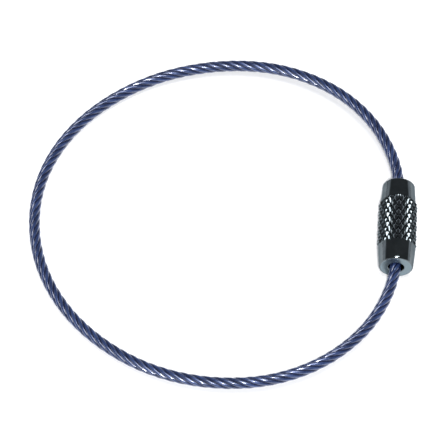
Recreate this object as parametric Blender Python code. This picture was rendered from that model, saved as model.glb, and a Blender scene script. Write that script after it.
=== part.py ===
"""Wire-rope key ring: a coated steel cable loop closed by a knurled screw connector.

The loop lies on the plane z = 0. The connector's axis runs along Y on the +X side. One cable end is
crimped in the threaded plug, the other in the end stop, which the knurled sleeve draws to the plug.
"""

import math

import bmesh
import bpy
import numpy as np

MM = 0.001

# Cable
CABLE_RADIUS = 0.78 * MM
JACKET_WALL = 0.11 * MM
ROPE_RADIUS = 0.61 * MM
CABLE_POINT_SPACING = 3.0 * MM
CABLE_BEVEL_RESOLUTION = 2

# Connector
CONNECTOR_X = 24.12 * MM
CONNECTOR_Y = -0.21 * MM
AXIS_HEIGHT = 2.75 * MM
HALF_LENGTH = 6.80 * MM
COLUMNS = 36

# Knurl
KNURL_RADIUS = 2.75 * MM
KNURL_ROOT_RADIUS = 2.46 * MM
KNURL_ROW = 0.77 * MM
KNURL_ROWS = 9
KNURL_LEAD_IN = 0.45 * MM

# Thread, right-handed, between the plug's stud and the sleeve
PITCH = 0.7 * MM
ROWS_PER_PITCH = 6
STUD_CREST_RADIUS = 1.95 * MM
THREAD_DEPTH = 0.38 * MM
THREAD_CLEARANCE = 0.10 * MM
STUD_TURNS = 5
SLEEVE_TURNS = 5.5

# Plug
COLLAR_LENGTH = 3.00 * MM
COLLAR_TIP_RADIUS = 2.27 * MM
COLLAR_BASE_RADIUS = 2.46 * MM
COLLAR_MOUTH_RADIUS = 0.89 * MM
COLLAR_MOUTH_DEPTH = 1.50 * MM
ROPE_BORE_RADIUS = 0.69 * MM

# Sleeve
PARTING_GAP = 0.05 * MM
TAIL_BASE_RADIUS = 2.62 * MM
TAIL_TIP_RADIUS = 2.34 * MM
END_WALL = 3.00 * MM
CABLE_HOLE_RADIUS = 1.08 * MM
CAVITY_RADIUS = 1.72 * MM

# End stop
STOP_RADIUS = 1.50 * MM
STOP_WAIST_RADIUS = 1.40 * MM
STOP_LENGTH = 3.30 * MM
STOP_GAP = 0.06 * MM
SHOULDER_SHARE = 0.25
CRIMP_SLOPE_SHARE = 0.10

EDGE_CHAMFER = 0.15 * MM

# Route of the jacketed cable, in millimetres: out of the collar, round the loop, into the sleeve.
ROUTE_MM = [
    (24.12, 5.35, 2.75), (24.10, 6.80, 2.75), (23.69, 9.78, 2.73), (22.77, 12.68, 2.70),
    (20.11, 17.62, 2.59), (16.29, 21.74, 2.44), (11.52, 24.72, 2.26), (6.17, 26.43, 2.05),
    (0.56, 26.80, 1.83), (-5.00, 25.98, 1.61), (-10.32, 24.13, 1.40), (-15.15, 21.25, 1.21),
    (-19.34, 17.50, 1.05), (-22.69, 12.97, 0.92), (-24.96, 7.82, 0.83), (-26.00, 2.30, 0.79),
    (-25.81, -3.33, 0.80), (-24.46, -8.78, 0.85), (-21.98, -13.85, 0.95), (-18.52, -18.28, 1.08),
    (-14.23, -21.92, 1.25), (-9.33, -24.67, 1.44), (-3.95, -26.33, 1.65), (1.65, -26.84, 1.87),
    (7.24, -26.17, 2.09), (12.48, -24.17, 2.29), (17.08, -20.92, 2.47), (20.71, -16.63, 2.62),
    (23.09, -11.54, 2.71), (23.68, -9.38, 2.75), (24.04, -6.95, 2.75), (24.12, -4.25, 2.75),
]


def clear_scene():
    for obj in list(bpy.data.objects):
        bpy.data.objects.remove(obj, do_unlink=True)


def material(name, colour, metallic, roughness):
    made = bpy.data.materials.new(name)
    made.use_nodes = True
    shader = made.node_tree.nodes["Principled BSDF"]
    shader.inputs["Base Color"].default_value = (*colour, 1.0)
    shader.inputs["Metallic"].default_value = metallic
    shader.inputs["Roughness"].default_value = roughness
    return made


def smooth_curve(points, spacing):
    """Points at an even spacing on the natural cubic spline through the given points."""
    knots = np.array(points)
    chords = np.linalg.norm(np.diff(knots, axis=0), axis=1)
    at = np.concatenate([[0.0], np.cumsum(chords)])
    count = len(knots)
    system = np.eye(count)
    right = np.zeros((count, 3))
    for i in range(1, count - 1):
        before, after = chords[i - 1], chords[i]
        system[i, i - 1 : i + 2] = before, 2 * (before + after), after
        right[i] = 6 * ((knots[i + 1] - knots[i]) / after - (knots[i] - knots[i - 1]) / before)
    bend = np.linalg.solve(system, right)

    def position(distance):
        i = int(np.clip(np.searchsorted(at, distance) - 1, 0, count - 2))
        span = chords[i]
        back, ahead = at[i + 1] - distance, distance - at[i]
        curved = (bend[i] * back**3 + bend[i + 1] * ahead**3) / (6 * span)
        start = (knots[i] / span - bend[i] * span / 6) * back
        end = (knots[i + 1] / span - bend[i + 1] * span / 6) * ahead
        return curved + start + end

    steps = round(at[-1] / spacing)
    return [position(distance) for distance in np.linspace(0.0, at[-1], steps + 1)]


def cable_tube(name, points, radius, finish, filled):
    """A tube round a polyline, as a bevelled curve."""
    curve = bpy.data.curves.new(name, "CURVE")
    curve.dimensions = "3D"
    curve.twist_mode = "Z_UP"
    curve.bevel_depth = radius
    curve.bevel_resolution = CABLE_BEVEL_RESOLUTION
    curve.use_fill_caps = filled
    spline = curve.splines.new("POLY")
    spline.points.add(len(points) - 1)
    for point, place in zip(spline.points, points):
        point.co = (*place, 1.0)
    obj = bpy.data.objects.new(name, curve)
    curve.materials.append(finish)
    bpy.context.collection.objects.link(obj)
    return obj


def ring(y, radius):
    """One round row of a turned part, as a radius for each column."""
    return [(radius, y)] * COLUMNS


def threaded_rows(start, turns, crest, depth, run_out):
    """Rows of a right-hand thread from start towards -Y. It runs out over half a turn at each end."""
    rows = []
    total = round(turns * ROWS_PER_PITCH)
    fade_rows = ROWS_PER_PITCH / 2
    for i in range(total + 1):
        y = start - i * PITCH / ROWS_PER_PITCH
        fade = min(1.0, i / fade_rows, (total - i) / fade_rows)
        row = []
        for j in range(COLUMNS):
            phase = (y / PITCH + j / COLUMNS) % 1.0
            wave = abs(2 * phase - 1)
            tooth = min(1.0, max(0.0, 1.5 * wave - 0.25))
            radius = crest - depth * (1 - tooth)
            row.append((run_out + (radius - run_out) * fade, y))
        rows.append(row)
    return rows


def knurled_rows(start):
    """Rows of a diamond knurl from start towards -Y: tips and groove crossings take turns."""
    rows = []
    for i in range(KNURL_ROWS + 1):
        y = start - i * KNURL_ROW
        tips = [KNURL_RADIUS if (i + j) % 2 else KNURL_ROOT_RADIUS for j in range(COLUMNS)]
        rows.append([(radius, y) for radius in tips])
    return rows


def turned_part(name, rows, finish, knurl_from=None):
    """A closed ring-shaped solid about the connector's axis. The rows run once round its section.

    From row knurl_from on, each knurl face is split along the groove that crosses it.
    """
    mesh = bmesh.new()
    grid = []
    for row in rows:
        line = []
        for j, (radius, y) in enumerate(row):
            angle = 2 * math.pi * j / COLUMNS - math.pi / 2
            line.append(mesh.verts.new((radius * math.cos(angle), y, radius * math.sin(angle))))
        grid.append(line)
    for i, line in enumerate(grid):
        following = grid[(i + 1) % len(grid)]
        for j in range(COLUMNS):
            k = (j + 1) % COLUMNS
            corners = [line[j], line[k], following[k], following[j]]
            if knurl_from is not None and knurl_from <= i < knurl_from + KNURL_ROWS:
                first = (i - knurl_from + j) % 2
                mesh.faces.new((corners[first], corners[first + 1], corners[first + 2]))
                mesh.faces.new((corners[first + 2], corners[(first + 3) % 4], corners[first]))
            else:
                mesh.faces.new(corners)
    bmesh.ops.recalc_face_normals(mesh, faces=mesh.faces)
    data = bpy.data.meshes.new(name)
    mesh.to_mesh(data)
    mesh.free()
    data.materials.append(finish)
    data.shade_smooth()
    data.set_sharp_from_angle(angle=math.radians(30))
    obj = bpy.data.objects.new(name, data)
    obj.location = (CONNECTOR_X, CONNECTOR_Y, AXIS_HEIGHT)
    bpy.context.collection.objects.link(obj)
    return obj


def make_cable(rope_finish, jacket_finish):
    """The steel rope from end to end, and the plastic jacket over all but its two crimped ends."""
    route = [tuple(value * MM for value in point) for point in ROUTE_MM]
    jacket_points = smooth_curve(route, CABLE_POINT_SPACING)
    jacket = cable_tube("cable_jacket", jacket_points, CABLE_RADIUS, jacket_finish, filled=False)
    wall = jacket.modifiers.new("wall", "SOLIDIFY")
    wall.thickness = JACKET_WALL
    wall.offset = -1.0
    in_plug = (CONNECTOR_X, CONNECTOR_Y + stud_end() + STOP_GAP, AXIS_HEIGHT)
    in_stop = (CONNECTOR_X, CONNECTOR_Y + stop_top() - STOP_GAP, AXIS_HEIGHT)
    cable_tube("wire_rope", [in_plug, *jacket_points, in_stop], ROPE_RADIUS, rope_finish, filled=True)


def collar_base():
    return HALF_LENGTH - COLLAR_LENGTH


def stud_end():
    return collar_base() - STUD_TURNS * PITCH - EDGE_CHAMFER


def stop_top():
    return -HALF_LENGTH + END_WALL + STOP_GAP + STOP_LENGTH


def make_plug(finish):
    """The smooth collar, bored for the jacketed cable, and the threaded stud, bored for the bare rope."""
    root = STUD_CREST_RADIUS - THREAD_DEPTH
    rows = threaded_rows(collar_base(), STUD_TURNS, STUD_CREST_RADIUS, THREAD_DEPTH, run_out=root)
    rows += [
        ring(stud_end(), root - EDGE_CHAMFER),
        ring(stud_end(), ROPE_BORE_RADIUS),
        ring(HALF_LENGTH - COLLAR_MOUTH_DEPTH, ROPE_BORE_RADIUS),
        ring(HALF_LENGTH - COLLAR_MOUTH_DEPTH, COLLAR_MOUTH_RADIUS),
        ring(HALF_LENGTH - EDGE_CHAMFER, COLLAR_MOUTH_RADIUS),
        ring(HALF_LENGTH, COLLAR_MOUTH_RADIUS + EDGE_CHAMFER),
        ring(HALF_LENGTH, COLLAR_TIP_RADIUS - EDGE_CHAMFER),
        ring(HALF_LENGTH - EDGE_CHAMFER, COLLAR_TIP_RADIUS),
        ring(collar_base(), COLLAR_BASE_RADIUS),
    ]
    turned_part("threaded_plug", rows, finish)


def make_sleeve(finish):
    """The knurled nut with its smooth tail, its thread, the end stop's cavity and the cable hole."""
    top = collar_base() - PARTING_GAP
    bottom = -HALF_LENGTH
    knurl_top = top - KNURL_LEAD_IN
    knurl_bottom = knurl_top - KNURL_ROWS * KNURL_ROW
    cavity_bottom = bottom + END_WALL
    groove = STUD_CREST_RADIUS + THREAD_CLEARANCE
    female = threaded_rows(top, SLEEVE_TURNS, groove, THREAD_DEPTH, run_out=groove)
    thread_bottom = female[-1][0][1]
    rows = [ring(top, COLLAR_BASE_RADIUS)]
    rows += knurled_rows(knurl_top)
    rows += [
        ring(knurl_bottom - EDGE_CHAMFER, TAIL_BASE_RADIUS),
        ring(bottom + EDGE_CHAMFER, TAIL_TIP_RADIUS),
        ring(bottom, TAIL_TIP_RADIUS - EDGE_CHAMFER),
        ring(bottom, CABLE_HOLE_RADIUS + EDGE_CHAMFER),
        ring(bottom + EDGE_CHAMFER, CABLE_HOLE_RADIUS),
        ring(cavity_bottom, CABLE_HOLE_RADIUS),
        ring(cavity_bottom, CAVITY_RADIUS),
        ring(thread_bottom - EDGE_CHAMFER, CAVITY_RADIUS),
    ]
    rows += female[::-1]
    turned_part("knurled_sleeve", rows, finish, knurl_from=1)


def make_end_stop(finish):
    """The tube crimped on the second cable end, with a shallow waist where the tool squeezed it."""
    top = stop_top()
    bottom = top - STOP_LENGTH
    shoulder = SHOULDER_SHARE * STOP_LENGTH
    slope = CRIMP_SLOPE_SHARE * STOP_LENGTH
    rows = [
        ring(top, ROPE_BORE_RADIUS),
        ring(top, STOP_RADIUS - EDGE_CHAMFER),
        ring(top - EDGE_CHAMFER, STOP_RADIUS),
        ring(top - shoulder, STOP_RADIUS),
        ring(top - shoulder - slope, STOP_WAIST_RADIUS),
        ring(bottom + shoulder + slope, STOP_WAIST_RADIUS),
        ring(bottom + shoulder, STOP_RADIUS),
        ring(bottom + EDGE_CHAMFER, STOP_RADIUS),
        ring(bottom, STOP_RADIUS - EDGE_CHAMFER),
        ring(bottom, ROPE_BORE_RADIUS),
    ]
    turned_part("end_stop", rows, finish)


def main():
    clear_scene()
    chrome = material("chrome", (0.62, 0.64, 0.66), 1.0, 0.12)
    steel = material("bright_steel", (0.58, 0.58, 0.60), 1.0, 0.30)
    crimped = material("crimped_aluminium", (0.70, 0.71, 0.72), 1.0, 0.38)
    coating = material("blue_coating", (0.03, 0.09, 0.30), 0.0, 0.22)
    make_cable(steel, coating)
    make_plug(chrome)
    make_sleeve(chrome)
    make_end_stop(crimped)


main()
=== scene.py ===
"""Looks of the wire-rope key ring: a stranded blue cable and a knurled chrome connector."""

import math

import bpy
import numpy as np
from mathutils import Matrix, Vector

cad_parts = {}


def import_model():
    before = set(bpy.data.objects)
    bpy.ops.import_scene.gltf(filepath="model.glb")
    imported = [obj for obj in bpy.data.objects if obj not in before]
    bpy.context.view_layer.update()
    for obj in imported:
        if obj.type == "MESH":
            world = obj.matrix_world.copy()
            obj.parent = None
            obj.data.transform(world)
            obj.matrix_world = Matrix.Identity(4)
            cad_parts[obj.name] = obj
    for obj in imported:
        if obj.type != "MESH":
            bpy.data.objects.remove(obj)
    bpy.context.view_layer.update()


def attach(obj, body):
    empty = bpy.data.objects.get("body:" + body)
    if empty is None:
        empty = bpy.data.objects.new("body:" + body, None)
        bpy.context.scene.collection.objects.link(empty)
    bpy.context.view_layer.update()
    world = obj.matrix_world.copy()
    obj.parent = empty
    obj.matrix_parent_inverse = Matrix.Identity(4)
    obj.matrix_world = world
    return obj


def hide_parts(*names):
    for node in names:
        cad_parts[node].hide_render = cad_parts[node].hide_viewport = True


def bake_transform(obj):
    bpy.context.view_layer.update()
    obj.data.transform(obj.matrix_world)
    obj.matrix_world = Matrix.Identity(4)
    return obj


MM = 0.001

# Camera: where it looks, and how far its picture is shifted across the view
VIEW_ELEVATION = math.radians(55.0)
VIEW_AZIMUTH = math.radians(1.35)
VIEW_ROLL = math.radians(2.6)
VIEW_DISTANCE = 420 * MM
VIEW_LENS = 243.7
LOOK_AT = Vector((-0.14, 0.31, 1.5)) * MM
FRAME_RIGHT = 0.29 * MM
FRAME_DOWN = 0.89 * MM

# Cable: six strands of seven wires round a core, under a thin coating that follows them.
# From one strand to the next, the wires start 1 / WIRE_OFFSET of a turn further round.
STRAND_CIRCLE = 0.46 * MM
STRAND_RADIUS = 0.32 * MM
BARE_STRAND_CIRCLE = 0.40 * MM
BARE_STRAND_RADIUS = 0.205 * MM
STRANDS = 6
WIRES = 6
ROPE_LAY = 9.0 * MM
WIRE_LAY = 4.2 * MM
WIRE_RELIEF = 0.016 * MM
WIRE_OFFSET = 13
COLUMNS_PER_STRAND = 14
CABLE_STEP = 0.14 * MM
BARE_END_ROWS = 24
BARE_END_START = 0.01
BARE_END_GAP = 0.06 * MM

# Connector, along Y
AXIS_X = 24.12 * MM
AXIS_Y = -0.21 * MM
AXIS_Z = 2.75 * MM
HALF_LENGTH = 6.80 * MM
COLLAR_BASE = 3.80 * MM
COLLAR_TIP_RADIUS = 2.27 * MM
COLLAR_BASE_RADIUS = 2.46 * MM
COLLAR_ROUNDING = 0.28 * MM
SLEEVE_TOP = 3.75 * MM
SLEEVE_FACE_PAST_THREAD = 0.02 * MM
SLEEVE_FACE_PAST_COLLAR = 0.01 * MM
KNURL_TOP = 3.30 * MM
KNURL_BOTTOM = -3.63 * MM
KNURL_CREST = 2.75 * MM
KNURL_ROOT = 2.42 * MM
KNURL_CELLS = 18
KNURL_CROWN = math.radians(40.0)
KNURL_WEAR = 0.15
KNURL_PITCH = 1.60 * MM
KNURL_SPLIT = 12
TOP_CHAMFER_SLOPE = 0.55
TOP_CHAMFER_LIP = 0.03 * MM
LOW_CHAMFER_SLOPE = 0.60
LOW_CHAMFER_LIP = 0.02 * MM
TAIL_BASE_RADIUS = 2.62 * MM
TAIL_TIP_RADIUS = 2.34 * MM
TAIL_ROUNDING = 0.32 * MM
KNURL_TO_TAIL = 0.09 * MM
CABLE_HOLE_RADIUS = 1.08 * MM
CAVITY_RADIUS = 1.72 * MM
CAVITY_BOTTOM = -3.80 * MM
THREAD_TO_CAVITY = 0.15 * MM
COLLAR_MOUTH_RADIUS = 0.89 * MM
COLLAR_MOUTH_DEPTH = 1.50 * MM
MOUTH_ROUNDING = 0.12 * MM
ROPE_BORE_RADIUS = 0.69 * MM
STUD_END = 0.15 * MM
STUD_CREST = 1.95 * MM
STUD_END_CHAMFER = 0.15 * MM
THREAD_DEPTH = 0.38 * MM
THREAD_CLEARANCE = 0.10 * MM
THREAD_PITCH = 0.70 * MM
THREAD_FLAT_SHARE = 1 / 6
THREAD_SPLIT = 14
STUD_TURNS = 5
SLEEVE_TURNS = 5.5
STOP_TOP = -0.44 * MM
STOP_BOTTOM = -3.74 * MM
STOP_RADIUS = 1.50 * MM
STOP_ROUNDING = 0.15 * MM
CRIMP_FLAT = 1.40 * MM
CRIMP_MARGIN = 0.55 * MM
CRIMP_REACH = 1.1 * MM
CRIMP_STEEPNESS = 3.2
CRIMP_ROWS = 21
TURNED_COLUMNS = KNURL_CELLS * KNURL_SPLIT

# Plating: its two shades, its tint at grazing angles, and the paler turned ends
PLATE_DARK = (0.120, 0.138, 0.147)
PLATE_BRIGHT = (0.155, 0.176, 0.188)
PLATE_ROUGHNESS = (0.05, 0.09)
EDGE_TINT = (0.45, 0.48, 0.50)
END_COLOUR = (0.20, 0.25, 0.28)
END_ROUGHNESS = (0.26, 0.38)

# Coating: its two shades where it is thin over the strands, and the painted shade that darkens it between
# them
COATING_DARK = (0.020, 0.033, 0.080)
COATING_BRIGHT = (0.042, 0.066, 0.148)
COATING_VALLEY_SHADE = (0.009, 0.010, 0.028)

# Studio: lights as place, size and watts. The room's pale walls give way to a dim ceiling.
FRONT_LIGHT = ((0.02, -0.33, 0.46), (0.06, 0.06), 3.5)
TOP_LIGHT = ((0.05, -0.03, 0.60), (0.36, 0.30), 2.4)
WALL_TOP, WALL_COLOUR = 0.16, (0.80, 0.83, 0.88)
CEILING_EDGE, CEILING_COLOUR = 0.30, (0.120, 0.127, 0.132)
FLOOR_HALF_SIZE = 3.0

# Route of the jacketed cable, in metres: out of the collar, round the loop, into the sleeve
ROUTE = [
    (0.02412, 0.00535, 0.00275), (0.02410, 0.00680, 0.00275), (0.02369, 0.00978, 0.00273),
    (0.02277, 0.01268, 0.00270), (0.02011, 0.01762, 0.00259), (0.01629, 0.02174, 0.00244),
    (0.01152, 0.02472, 0.00226), (0.00617, 0.02643, 0.00205), (0.00056, 0.02680, 0.00183),
    (-0.00500, 0.02598, 0.00161), (-0.01032, 0.02413, 0.00140), (-0.01515, 0.02125, 0.00121),
    (-0.01934, 0.01750, 0.00105), (-0.02269, 0.01297, 0.00092), (-0.02496, 0.00782, 0.00083),
    (-0.02600, 0.00230, 0.00079), (-0.02581, -0.00333, 0.00080), (-0.02446, -0.00878, 0.00085),
    (-0.02198, -0.01385, 0.00095), (-0.01852, -0.01828, 0.00108), (-0.01423, -0.02192, 0.00125),
    (-0.00933, -0.02467, 0.00144), (-0.00395, -0.02633, 0.00165), (0.00165, -0.02684, 0.00187),
    (0.00724, -0.02617, 0.00209), (0.01248, -0.02417, 0.00229), (0.01708, -0.02092, 0.00247),
    (0.02071, -0.01663, 0.00262), (0.02309, -0.01154, 0.00271), (0.02368, -0.00938, 0.00275),
    (0.02404, -0.00695, 0.00275), (0.02412, -0.00425, 0.00275),
]


# ---------------------------------------------------------------- meshes

def mesh_object(name, vertices, faces, sharp_angle=35.0):
    """A smooth mesh whose edges are sharp where they turn by more than the angle, in degrees."""
    mesh = bpy.data.meshes.new(name)
    mesh.from_pydata(vertices.reshape(-1, 3).tolist(), [], faces)
    mesh.update()
    mesh.shade_smooth()
    mesh.set_sharp_from_angle(angle=math.radians(sharp_angle))
    obj = bpy.data.objects.new(name, mesh)
    bpy.context.scene.collection.objects.link(obj)
    return obj


def smooth_curve(points, spacing):
    """Points at an even spacing on the natural cubic spline through the given points."""
    knots = np.array(points)
    chords = np.linalg.norm(np.diff(knots, axis=0), axis=1)
    at = np.concatenate([[0.0], np.cumsum(chords)])
    count = len(knots)
    system = np.eye(count)
    right = np.zeros((count, 3))
    for i in range(1, count - 1):
        before, after = chords[i - 1], chords[i]
        system[i, i - 1 : i + 2] = before, 2 * (before + after), after
        right[i] = 6 * ((knots[i + 1] - knots[i]) / after - (knots[i] - knots[i - 1]) / before)
    bend = np.linalg.solve(system, right)
    distances = np.linspace(0.0, at[-1], round(at[-1] / spacing) + 1)
    i = np.clip(np.searchsorted(at, distances) - 1, 0, count - 2)
    span = chords[i][:, None]
    back = (at[i + 1] - distances)[:, None]
    ahead = (distances - at[i])[:, None]
    curved = (bend[i] * back**3 + bend[i + 1] * ahead**3) / (6 * span)
    start = (knots[i] / span - bend[i] * span / 6) * back
    end = (knots[i + 1] / span - bend[i + 1] * span / 6) * ahead
    return curved + start + end


def unit(vectors):
    return vectors / np.linalg.norm(vectors, axis=1, keepdims=True)


def rope(name, line, circle, strand):
    """A closed rope surface along a line: strands laid right-handed, their wires left-handed.

    The strands' middles lie on the circle. The crown attribute is 1 on a strand and 0 between two.
    """
    tangent = unit(np.gradient(line, axis=0))
    up = unit(np.array([0.0, 0.0, 1.0]) - tangent * tangent[:, 2:3])
    side = np.cross(up, tangent)
    steps = np.linalg.norm(np.diff(line, axis=0), axis=1)
    along = np.concatenate([[0.0], np.cumsum(steps)])

    columns = np.arange(STRANDS * COLUMNS_PER_STRAND)
    sector = columns // COLUMNS_PER_STRAND
    half = math.pi / STRANDS
    off_middle = (columns % COLUMNS_PER_STRAND) / COLUMNS_PER_STRAND * 2 * half - half
    inside = np.maximum(strand**2 - (circle * np.sin(off_middle)) ** 2, 0.0)
    reach = circle * np.cos(off_middle) + np.sqrt(inside)
    turn = np.arctan2(reach * np.sin(off_middle), reach * np.cos(off_middle) - circle)

    wire = turn[None, :] + 2 * math.pi * (along[:, None] / WIRE_LAY + sector[None, :] / WIRE_OFFSET)
    relief = WIRE_RELIEF * strand / STRAND_RADIUS * (1 - np.abs(np.cos(WIRES / 2 * wire)))
    local = np.hypot(reach * np.cos(off_middle) - circle, reach * np.sin(off_middle)) - relief
    outward = circle + local * np.cos(turn)
    sideways = local * np.sin(turn)
    angle = 2 * math.pi * (sector[None, :] / STRANDS + along[:, None] / ROPE_LAY)
    a = outward * np.cos(angle) - sideways * np.sin(angle)
    b = outward * np.sin(angle) + sideways * np.cos(angle)
    surface = line[:, None] + a[..., None] * side[:, None] + b[..., None] * up[:, None]

    rows, count = a.shape
    faces = []
    for i in range(rows - 1):
        for j in range(count):
            k = (j + 1) % count
            faces.append((i * count + j, i * count + k, (i + 1) * count + k, (i + 1) * count + j))
    first, last = rows * count, rows * count + 1
    for j in range(count):
        k = (j + 1) % count
        faces.append((first, k, j))
        faces.append((last, (rows - 1) * count + j, (rows - 1) * count + k))
    vertices = np.concatenate([surface.reshape(-1, 3), line[:1], line[-1:]])
    obj = mesh_object(name, vertices, faces, sharp_angle=60.0)
    crown = (reach - reach.min()) / (reach.max() - reach.min())
    attribute = obj.data.attributes.new("crown", "FLOAT", "POINT")
    attribute.data.foreach_set("value", np.concatenate([np.tile(crown, rows), [0.0, 0.0]]))
    return obj


def rounded(corners, steps=6):
    """The outline through (radius, y, rounding) corners, with an arc at each corner that is rounded."""
    outline = []
    for i, (radius, y, rounding) in enumerate(corners):
        here = np.array([radius, y])
        if rounding == 0 or i in (0, len(corners) - 1):
            outline.append(here)
            continue
        back = np.array(corners[i - 1][:2]) - here
        ahead = np.array(corners[i + 1][:2]) - here
        back, ahead = back / np.linalg.norm(back), ahead / np.linalg.norm(ahead)
        half = math.acos(np.clip(back @ ahead, -1, 1)) / 2
        middle = (back + ahead) / np.linalg.norm(back + ahead)
        centre = here + middle * rounding / math.sin(half)
        first = here + back * rounding / math.tan(half) - centre
        last = here + ahead * rounding / math.tan(half) - centre
        swept = math.pi - 2 * half
        for k in range(steps + 1):
            t = k / steps
            turned_by_t = first * math.sin((1 - t) * swept) + last * math.sin(t * swept)
            outline.append(centre + turned_by_t / math.sin(swept))
    return [np.tile(point, (TURNED_COLUMNS, 1)) for point in outline]


def thread_rows(start, turns, crest, run_out):
    """Rows of the right-hand thread from start towards -Y, running out over half a turn at each end.

    The flat share is how much of the pitch each crest takes up, and each root.
    """
    total = round(turns * THREAD_SPLIT)
    column = np.arange(TURNED_COLUMNS) / TURNED_COLUMNS
    rows = []
    for i in range(total + 1):
        y = start - i * THREAD_PITCH / THREAD_SPLIT
        fade = min(1.0, 2 * i / THREAD_SPLIT, 2 * (total - i) / THREAD_SPLIT)
        wave = np.abs(2 * ((y / THREAD_PITCH + column) % 1.0) - 1)
        tooth = np.clip((wave - THREAD_FLAT_SHARE) / (1 - 2 * THREAD_FLAT_SHARE), 0.0, 1.0)
        radius = crest - THREAD_DEPTH * (1 - tooth)
        radius = run_out + (radius - run_out) * fade
        rows.append(np.stack([radius, np.full(TURNED_COLUMNS, y)], axis=1))
    return rows


def knurl_rows():
    """Rows of the diamond knurl: pyramids with worn ridges, between two families of V grooves."""
    count = round((KNURL_TOP - KNURL_BOTTOM) / KNURL_PITCH * KNURL_SPLIT)
    lead = round((SLEEVE_TOP - KNURL_TOP) / KNURL_PITCH * KNURL_SPLIT)
    round_part = np.arange(TURNED_COLUMNS) / KNURL_SPLIT
    rows = []
    for i in range(1 - lead, count + 1):
        y = KNURL_TOP - i * KNURL_PITCH / KNURL_SPLIT
        rise, other = (
            np.sin(np.abs(across - np.round(across)) * 2 * KNURL_CROWN) / math.sin(KNURL_CROWN)
            for across in (round_part + i / KNURL_SPLIT, round_part - i / KNURL_SPLIT)
        )
        height = (rise + other - np.hypot(rise - other, KNURL_WEAR)) / 2
        radius = KNURL_CREST - (KNURL_CREST - KNURL_ROOT) * (1 - height)
        top_chamfer = COLLAR_BASE_RADIUS + TOP_CHAMFER_LIP + (SLEEVE_TOP - y) * TOP_CHAMFER_SLOPE
        low_chamfer = TAIL_BASE_RADIUS + LOW_CHAMFER_LIP + (y - KNURL_BOTTOM) * LOW_CHAMFER_SLOPE
        radius = np.minimum(radius, min(top_chamfer, low_chamfer))
        rows.append(np.stack([radius, np.full(TURNED_COLUMNS, y)], axis=1))
    return rows


def turned(name, rows, knurl=range(0)):
    """A closed ring-shaped solid about the connector's axis, from rows that run once round its section.

    Knurl faces are split along the lower diagonal, which keeps the grooves crisp.
    """
    rows = np.array(rows)
    angle = 2 * math.pi * np.arange(TURNED_COLUMNS) / TURNED_COLUMNS - math.pi / 2
    x = AXIS_X + rows[..., 0] * np.cos(angle)
    z = AXIS_Z + rows[..., 0] * np.sin(angle)
    vertices = np.stack([x, AXIS_Y + rows[..., 1], z], axis=-1)
    count = len(rows)
    faces = []
    for i in range(count):
        n = (i + 1) % count
        for j in range(TURNED_COLUMNS):
            k = (j + 1) % TURNED_COLUMNS
            a, b = i * TURNED_COLUMNS + j, i * TURNED_COLUMNS + k
            c, d = n * TURNED_COLUMNS + k, n * TURNED_COLUMNS + j
            if i not in knurl:
                faces.append((a, b, c, d))
            elif rows[i, j, 0] + rows[n, k, 0] <= rows[i, k, 0] + rows[n, j, 0]:
                faces += [(a, b, c), (a, c, d)]
            else:
                faces += [(a, b, d), (b, c, d)]
    return mesh_object(name, vertices, [face[::-1] for face in faces])


# ---------------------------------------------------------------- materials

def principled(name, colour, metallic, roughness, **sockets):
    """A material, its node tree and its shader, with constant values on the shader's own sockets."""
    made = bpy.data.materials.new(name)
    made.use_nodes = True
    shader = made.node_tree.nodes["Principled BSDF"]
    shader.inputs["Base Color"].default_value = (*colour, 1.0)
    shader.inputs["Metallic"].default_value = metallic
    shader.inputs["Roughness"].default_value = roughness
    for socket, value in sockets.items():
        shader.inputs[socket.replace("_", " ")].default_value = value
    return made, made.node_tree, shader


def noise(tree, scale, detail=3.0, stretch=(1.0, 1.0, 1.0)):
    """The height of a noise in the object's own space. scale is in features per metre."""
    place = tree.nodes.new("ShaderNodeTexCoord")
    mapping = tree.nodes.new("ShaderNodeMapping")
    mapping.inputs["Scale"].default_value = stretch
    texture = tree.nodes.new("ShaderNodeTexNoise")
    texture.inputs["Scale"].default_value = scale
    texture.inputs["Detail"].default_value = detail
    tree.links.new(place.outputs["Object"], mapping.inputs["Vector"])
    tree.links.new(mapping.outputs["Vector"], texture.inputs["Vector"])
    return texture.outputs["Fac"]


def colours(tree, value, low, high, at=(0.35, 0.65)):
    """The colour for value: low below the range at, high above it, and a blend inside it."""
    ramp = tree.nodes.new("ShaderNodeValToRGB")
    for element, colour, position in zip(ramp.color_ramp.elements, (low, high), at):
        element.color = (*colour, 1.0)
        element.position = position
    tree.links.new(value, ramp.inputs["Fac"])
    return ramp.outputs["Color"]


def spread(tree, value, low, high, at=(0.3, 0.7)):
    """value, moved from the range at to the range low to high."""
    remap = tree.nodes.new("ShaderNodeMapRange")
    remap.inputs["From Min"].default_value, remap.inputs["From Max"].default_value = at
    remap.inputs["To Min"].default_value, remap.inputs["To Max"].default_value = low, high
    tree.links.new(value, remap.inputs["Value"])
    return remap.outputs["Result"]


def mixed(tree, factor, low, high, kind="FLOAT"):
    """low or high, socket or constant colour, by factor."""
    node = tree.nodes.new("ShaderNodeMix")
    node.data_type = kind
    tree.links.new(factor, node.inputs[0])
    first = {"FLOAT": 2, "RGBA": 6}[kind]
    for socket, value in ((node.inputs[first], low), (node.inputs[first + 1], high)):
        if isinstance(value, tuple):
            socket.default_value = (*value, 1.0)
        else:
            tree.links.new(value, socket)
    return node.outputs[{"FLOAT": 0, "RGBA": 2}[kind]]


def bump(tree, shader, height, depth, strength=1.0):
    """Relief on the shader's surface. depth is in metres."""
    node = tree.nodes.new("ShaderNodeBump")
    node.inputs["Strength"].default_value = strength
    node.inputs["Distance"].default_value = depth
    tree.links.new(height, node.inputs["Height"])
    tree.links.new(node.outputs["Normal"], shader.inputs["Normal"])


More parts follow.
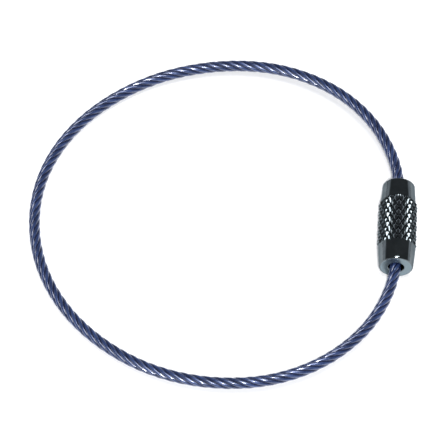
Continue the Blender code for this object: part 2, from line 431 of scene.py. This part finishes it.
def lathe_rings(tree, place):
    """Fine rings about the connector's axis, as a lathe leaves on an end face."""
    centred = tree.nodes.new("ShaderNodeMapping")
    centred.inputs["Location"].default_value = (-AXIS_X, 0.0, -AXIS_Z)
    rings = tree.nodes.new("ShaderNodeTexWave")
    rings.wave_type, rings.rings_direction = "RINGS", "Y"
    rings.inputs["Scale"].default_value = 2500
    rings.inputs["Distortion"].default_value = 1.5
    tree.links.new(place.outputs["Object"], centred.inputs["Vector"])
    tree.links.new(centred.outputs["Vector"], rings.inputs["Vector"])
    return rings.outputs["Fac"]


def on_end_face(tree, place):
    """1 where the surface faces along the connector's axis, and 0 round its sides."""
    split = tree.nodes.new("ShaderNodeSeparateXYZ")
    tree.links.new(place.outputs["Normal"], split.inputs["Vector"])
    steep = tree.nodes.new("ShaderNodeMath")
    steep.operation = "ABSOLUTE"
    tree.links.new(split.outputs["Y"], steep.inputs[0])
    return spread(tree, steep.outputs["Value"], 0.0, 1.0, at=(0.90, 0.99))


def chrome(name):
    """Polished plate with faint clouding and polishing streaks. Flat ends keep the lathe's fine rings."""
    made, tree, shader = principled(
        name, PLATE_BRIGHT, 1.0, PLATE_ROUGHNESS[0], Specular_Tint=(*EDGE_TINT, 1.0)
    )
    place = tree.nodes.new("ShaderNodeTexCoord")
    rings = lathe_rings(tree, place)
    on_end = on_end_face(tree, place)
    plate = colours(tree, noise(tree, 900), PLATE_DARK, PLATE_BRIGHT)
    streaks = noise(tree, 2500, 4.0, stretch=(1.0, 6.0, 1.0))
    polished = spread(tree, streaks, *PLATE_ROUGHNESS)
    turned_face = spread(tree, rings, *END_ROUGHNESS, at=(0.0, 1.0))
    tree.links.new(mixed(tree, on_end, plate, END_COLOUR, "RGBA"), shader.inputs["Base Color"])
    tree.links.new(mixed(tree, on_end, polished, turned_face), shader.inputs["Roughness"])
    bump(tree, shader, mixed(tree, on_end, streaks, rings), 0.004 * MM, 0.5)
    return made


def coated_rope(name):
    """Bright wires seen through a thin clear blue coating, with painted shade darkening it between
    strands.
    """
    made, tree, shader = principled(
        name, COATING_BRIGHT, 0.30, 0.30,
        Coat_Weight=1.0, Coat_Roughness=0.17, Coat_IOR=1.5, Coat_Tint=(0.72, 0.80, 1.0, 1.0),
    )
    thin = colours(tree, noise(tree, 700, 4.0), COATING_DARK, COATING_BRIGHT)
    crown = tree.nodes.new("ShaderNodeAttribute")
    crown.attribute_name = "crown"
    height = spread(tree, crown.outputs["Fac"], 0.0, 1.0, at=(0.15, 0.85))
    # Painted shade: the colour darkens to the valley shade in the creases between strands
    tree.links.new(mixed(tree, height, COATING_VALLEY_SHADE, thin, "RGBA"), shader.inputs["Base Color"])
    grain = noise(tree, 6000, 3.0)
    tree.links.new(spread(tree, grain, 0.20, 0.36), shader.inputs["Roughness"])
    bump(tree, shader, grain, 0.008 * MM, 0.5)
    return made


def bare_steel(name):
    made, tree, shader = principled(name, (0.55, 0.55, 0.57), 1.0, 0.28)
    cloud = noise(tree, 1500)
    tree.links.new(
        colours(tree, cloud, (0.42, 0.42, 0.44), (0.62, 0.62, 0.64)), shader.inputs["Base Color"]
    )
    tree.links.new(spread(tree, noise(tree, 5000), 0.20, 0.38), shader.inputs["Roughness"])
    return made


def crimped_metal(name):
    made, tree, shader = principled(name, (0.70, 0.70, 0.71), 1.0, 0.35)
    cloud = noise(tree, 1200, 4.0)
    tree.links.new(
        colours(tree, cloud, (0.55, 0.55, 0.57), (0.74, 0.74, 0.75)), shader.inputs["Base Color"]
    )
    drawn = noise(tree, 3000, 4.0, stretch=(1.0, 0.1, 1.0))
    tree.links.new(spread(tree, drawn, 0.28, 0.48), shader.inputs["Roughness"])
    bump(tree, shader, drawn, 0.006 * MM, 0.7)
    return made


def pale_paper(name):
    made, tree, shader = principled(name, (0.86, 0.86, 0.87), 0.0, 0.9)
    tree.links.new(
        colours(tree, noise(tree, 60, 5.0), (0.85, 0.85, 0.86), (0.87, 0.87, 0.88)),
        shader.inputs["Base Color"],
    )
    return made


# ---------------------------------------------------------------- pieces

def finish_piece(obj, body, slot, material, *nodes):
    obj.data.materials.append(material)
    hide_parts(*nodes)
    if body:
        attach(obj, body)


def make_cable(coating, steel):
    """The coated cable round the loop; its bare ends are crimped."""
    line = smooth_curve(ROUTE, CABLE_STEP)
    cable = rope("coated_cable", line, STRAND_CIRCLE, STRAND_RADIUS)
    finish_piece(cable, None, "jacket", coating, "cable_jacket")
    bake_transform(cable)
    ends = {
        "rope_end_in_plug": ("cable_side", line[0], STUD_END + BARE_END_GAP),
        "rope_end_in_stop": ("stop", line[-1], STOP_TOP - BARE_END_GAP),
    }
    for name, (body, jacket_end, tip) in ends.items():
        far = np.array([AXIS_X, AXIS_Y + tip, AXIS_Z])
        share = np.linspace(BARE_END_START, 1.0, BARE_END_ROWS)[:, None]
        stub = jacket_end + (far - jacket_end) * share
        end = rope(name, stub, BARE_STRAND_CIRCLE, BARE_STRAND_RADIUS)
        finish_piece(end, body, "rope", steel, "wire_rope")


def make_plug(material):
    outline = [
        (STUD_CREST - THREAD_DEPTH - STUD_END_CHAMFER, STUD_END, 0),
        (ROPE_BORE_RADIUS, STUD_END, 0),
        (ROPE_BORE_RADIUS, HALF_LENGTH - COLLAR_MOUTH_DEPTH, 0),
        (COLLAR_MOUTH_RADIUS, HALF_LENGTH - COLLAR_MOUTH_DEPTH, 0),
        (COLLAR_MOUTH_RADIUS, HALF_LENGTH, MOUTH_ROUNDING),
        (COLLAR_TIP_RADIUS, HALF_LENGTH, COLLAR_ROUNDING),
        (COLLAR_BASE_RADIUS, COLLAR_BASE, 0),
    ]
    root = STUD_CREST - THREAD_DEPTH
    rows = thread_rows(COLLAR_BASE, STUD_TURNS, STUD_CREST, run_out=root) + rounded(outline)
    plug = turned("plug_body", rows)
    finish_piece(plug, "cable_side", "connector", material, "threaded_plug")


def make_sleeve(material):
    groove = STUD_CREST + THREAD_CLEARANCE
    female = thread_rows(SLEEVE_TOP, SLEEVE_TURNS, groove, run_out=groove)
    thread_bottom = female[-1][0, 1]
    top = [
        (groove + SLEEVE_FACE_PAST_THREAD, SLEEVE_TOP, 0),
        (COLLAR_BASE_RADIUS + SLEEVE_FACE_PAST_COLLAR, SLEEVE_TOP, 0),
    ]
    tail = [
        (TAIL_BASE_RADIUS, KNURL_BOTTOM - KNURL_TO_TAIL, 0),
        (TAIL_TIP_RADIUS, -HALF_LENGTH, TAIL_ROUNDING),
        (CABLE_HOLE_RADIUS, -HALF_LENGTH, MOUTH_ROUNDING),
        (CABLE_HOLE_RADIUS, CAVITY_BOTTOM, 0),
        (CAVITY_RADIUS, CAVITY_BOTTOM, 0),
        (CAVITY_RADIUS, thread_bottom - THREAD_TO_CAVITY, 0),
    ]
    knurl = knurl_rows()
    rows = rounded(top) + knurl + rounded(tail) + female[::-1]
    first = len(top)
    sleeve = turned("sleeve_body", rows, knurl=range(first - 1, first + len(knurl)))
    finish_piece(sleeve, "sleeve", "connector", material, "knurled_sleeve")


def make_end_stop(material):
    """The crimped tube: six flats pressed into its middle."""
    outline = [
        (ROPE_BORE_RADIUS, STOP_TOP, 0),
        (STOP_RADIUS, STOP_TOP, STOP_ROUNDING),
        (STOP_RADIUS, STOP_BOTTOM, STOP_ROUNDING),
        (ROPE_BORE_RADIUS, STOP_BOTTOM, 0),
    ]
    rows = rounded(outline)
    middle = (STOP_TOP + STOP_BOTTOM) / 2
    angle = 2 * math.pi * np.arange(TURNED_COLUMNS) / TURNED_COLUMNS
    from_flat = (angle + math.pi / 6) % (math.pi / 3) - math.pi / 6
    flat = np.minimum(STOP_RADIUS, CRIMP_FLAT / np.cos(from_flat))
    crimped = []
    for y in np.linspace(STOP_TOP - CRIMP_MARGIN, STOP_BOTTOM + CRIMP_MARGIN, CRIMP_ROWS):
        pressed = np.clip(CRIMP_STEEPNESS * (1 - abs(y - middle) / CRIMP_REACH), 0.0, 1.0)
        radius = STOP_RADIUS + (flat - STOP_RADIUS) * pressed
        crimped.append(np.stack([radius, np.full(TURNED_COLUMNS, y)], axis=1))
    half = len(rows) // 2
    stop = turned("crimped_stop", rows[:half] + crimped + rows[half:])
    finish_piece(stop, "stop", "crimp", material, "end_stop")


# ---------------------------------------------------------------- camera, light and floor

def add_camera():
    right = Vector((math.cos(VIEW_AZIMUTH), math.sin(VIEW_AZIMUTH), 0.0))
    level = Vector((-math.sin(VIEW_AZIMUTH), math.cos(VIEW_AZIMUTH), 0.0))
    forward = level * math.cos(VIEW_ELEVATION) - Vector((0.0, 0.0, math.sin(VIEW_ELEVATION)))
    up = right.cross(forward)
    turn = Matrix((right, up, -forward)).transposed() @ Matrix.Rotation(VIEW_ROLL, 3, "Z")
    place = LOOK_AT - forward * VIEW_DISTANCE + turn.col[0] * FRAME_RIGHT - turn.col[1] * FRAME_DOWN
    data = bpy.data.cameras.new("camera")
    data.lens = VIEW_LENS
    data.sensor_width = 36.0
    data.clip_start = 0.01
    camera = bpy.data.objects.new("camera", data)
    camera.matrix_world = Matrix.Translation(place) @ turn.to_4x4()
    bpy.context.scene.collection.objects.link(camera)
    bpy.context.scene.camera = camera


def area_light(name, place, size, watts):
    """A soft elliptical light that faces the middle of the ring."""
    data = bpy.data.lights.new(name, "AREA")
    data.shape = "ELLIPSE"
    data.size, data.size_y = size
    data.energy = watts
    light = bpy.data.objects.new(name, data)
    aim = (LOOK_AT - Vector(place)).to_track_quat("-Z", "Y")
    light.matrix_world = Matrix.Translation(place) @ aim.to_matrix().to_4x4()
    bpy.context.scene.collection.objects.link(light)


def add_world():
    """A dim room with pale walls low down, as round a table-top studio."""
    world = bpy.data.worlds.new("studio")
    bpy.context.scene.world = world
    world.use_nodes = True
    tree = world.node_tree
    place = tree.nodes.new("ShaderNodeTexCoord")
    split = tree.nodes.new("ShaderNodeSeparateXYZ")
    ramp = tree.nodes.new("ShaderNodeValToRGB")
    wall, ceiling = ramp.color_ramp.elements
    wall.position, wall.color = WALL_TOP, (*WALL_COLOUR, 1.0)
    ceiling.position, ceiling.color = CEILING_EDGE, (*CEILING_COLOUR, 1.0)
    tree.links.new(place.outputs["Generated"], split.inputs["Vector"])
    tree.links.new(split.outputs["Z"], ramp.inputs["Fac"])
    tree.links.new(ramp.outputs["Color"], tree.nodes["Background"].inputs["Color"])


def add_floor(material):
    size = FLOOR_HALF_SIZE
    corners = np.array([(-size, -size, 0), (size, -size, 0), (size, size, 0), (-size, size, 0)])
    floor = mesh_object("floor", corners, [(0, 1, 2, 3)])
    floor.data.materials.append(material)


def main():
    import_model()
    bpy.context.scene.view_settings.view_transform = "Standard"
    add_camera()
    make_cable(coated_rope("blue_coating"), bare_steel("bright_steel"))
    plating = chrome("chrome_plate")
    make_plug(plating)
    make_sleeve(plating)
    make_end_stop(crimped_metal("crimped_aluminium"))
    add_floor(pale_paper("pale_floor"))
    add_world()
    area_light("front_light", *FRONT_LIGHT)
    area_light("top_light", *TOP_LIGHT)


main()
